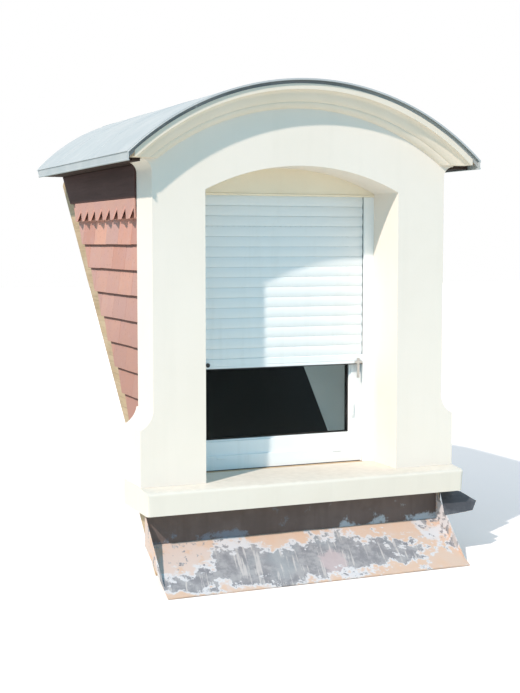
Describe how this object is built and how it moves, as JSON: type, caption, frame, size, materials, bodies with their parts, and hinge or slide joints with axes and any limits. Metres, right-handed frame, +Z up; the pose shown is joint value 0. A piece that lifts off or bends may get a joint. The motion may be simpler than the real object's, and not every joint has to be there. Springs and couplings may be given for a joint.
{
  "type": "dormer window",
  "caption": "Dormer window with a segmental moulded head, barrel metal roof, tiled cheeks, roller shutter and sill apron, on a sloping timber kerb.",
  "frame": {"origin": "middle of the front kerb's sloping underside, which lies on the rafters of the main roof", "axes": "+X to the right seen from outside, +Y into the house, +Z up"},
  "size_m": [1.4625, 1.9192, 1.8401],
  "materials": {
    "stone": "smooth cream render over cast stone",
    "tympanum": "satin sand paint",
    "boarding": "sawn",
    "framing": "planed",
    "zinc": "smooth pre-weathered sheet",
    "plaster": "painted lining board",
    "white_frame": "white satin profile",
    "glass": "clear double pane",
    "slats": "white satin slats",
    "apron": "peeling terracotta paint on sheet",
    "upstand": "worn brown paint on sheet",
    "flap": "dark lead sheet",
    "tiles": "flat fired clay tiles",
    "strip": "terracotta coloured pleated strip",
    "eaves_board": "dark brown stain",
    "soffit": "dark brown stain"
  },
  "bodies": {
    "root": {"sill": "stone", "right_jamb": "stone", "left_jamb": "stone", "arched_head": "stone", "cornice": "stone", "tympanum_panel": "tympanum", "roof_boarding": "boarding", "zinc_roof": "zinc", "front_drip": "zinc", "front_rib": "framing", "rear_rib": "framing", "ceiling_lining": "plaster", "front_lining": "plaster", "window_frame": "white_frame", "sash": "white_frame", "glass": "glass", "shutter_curtain": "slats", "shutter_bottom_bar": "slats", "shutter_box": "white_frame", "front_kerb": "framing", "window_bearer": "framing", "top_kerb": "framing", "front_upstand": "upstand", "apron_flashing": "apron", "corner_flap": "flap", "right_cheek_tiles": "tiles", "right_cheek_board": "boarding", "right_cheek_frame": "framing", "right_lining": "plaster", "right_cover_strip": "strip", "right_eaves_board": "eaves_board", "right_soffit": "soffit", "right_eaves_fascia": "zinc", "right_shutter_guide": "white_frame", "right_side_kerb": "framing", "left_cheek_tiles": "tiles", "left_cheek_board": "boarding", "left_cheek_frame": "framing", "left_lining": "plaster", "left_cover_strip": "strip", "left_eaves_board": "eaves_board", "left_soffit": "soffit", "left_eaves_fascia": "zinc", "left_shutter_guide": "white_frame", "left_side_kerb": "framing"}
  },
  "joints": []
}
